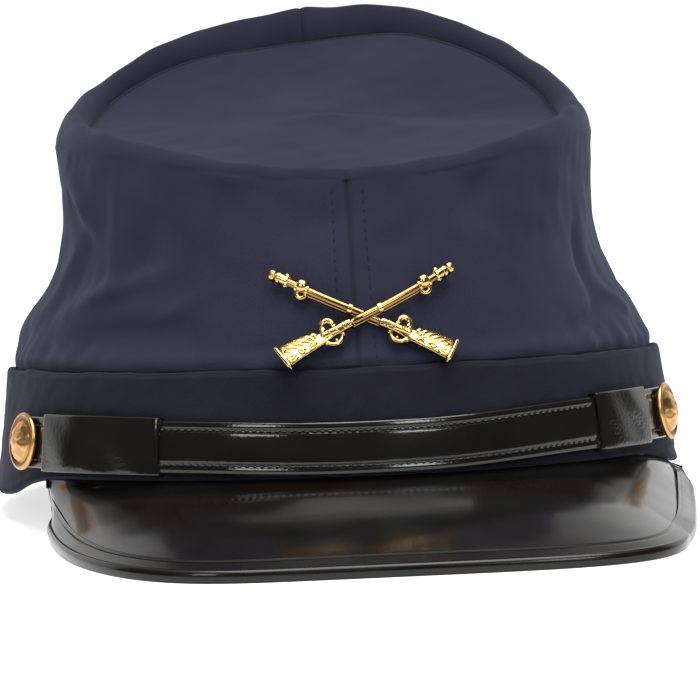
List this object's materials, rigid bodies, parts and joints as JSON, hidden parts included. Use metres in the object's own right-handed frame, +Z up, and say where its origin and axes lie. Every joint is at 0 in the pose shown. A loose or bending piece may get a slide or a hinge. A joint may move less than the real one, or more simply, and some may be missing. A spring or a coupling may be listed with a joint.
{
  "type": "kepi cap",
  "caption": "Soft cloth kepi with a forward-sloping sunken round top, a plain band, a leather peak and chin strap with domed buttons, and a crossed-muskets badge",
  "frame": {"origin": "centre of the underside of the bounding box, on the surface that the cap rests on", "axes": "Z up; the peak points to -Y and the back of the cap to +Y; the wearer's left is +X"},
  "size_m": [0.1852, 0.2406, 0.1313],
  "materials": {
    "crown_cloth": "dark blue wool flannel, soft and matt",
    "band_cloth": "the same dark blue wool, folded and slightly darker",
    "patent_leather": "black glossy patent leather",
    "brass": "polished stamped and cast brass"
  },
  "bodies": {
    "root": {"crown_left": "crown_cloth", "crown_right": "crown_cloth", "crown_top": "crown_cloth", "band": "band_cloth", "peak": "patent_leather", "peak_binding": "patent_leather", "chin_strap": "patent_leather", "keeper_left": "patent_leather", "keeper_right": "patent_leather", "button_left": "brass", "button_right": "brass", "badge": "brass"}
  },
  "joints": []
}
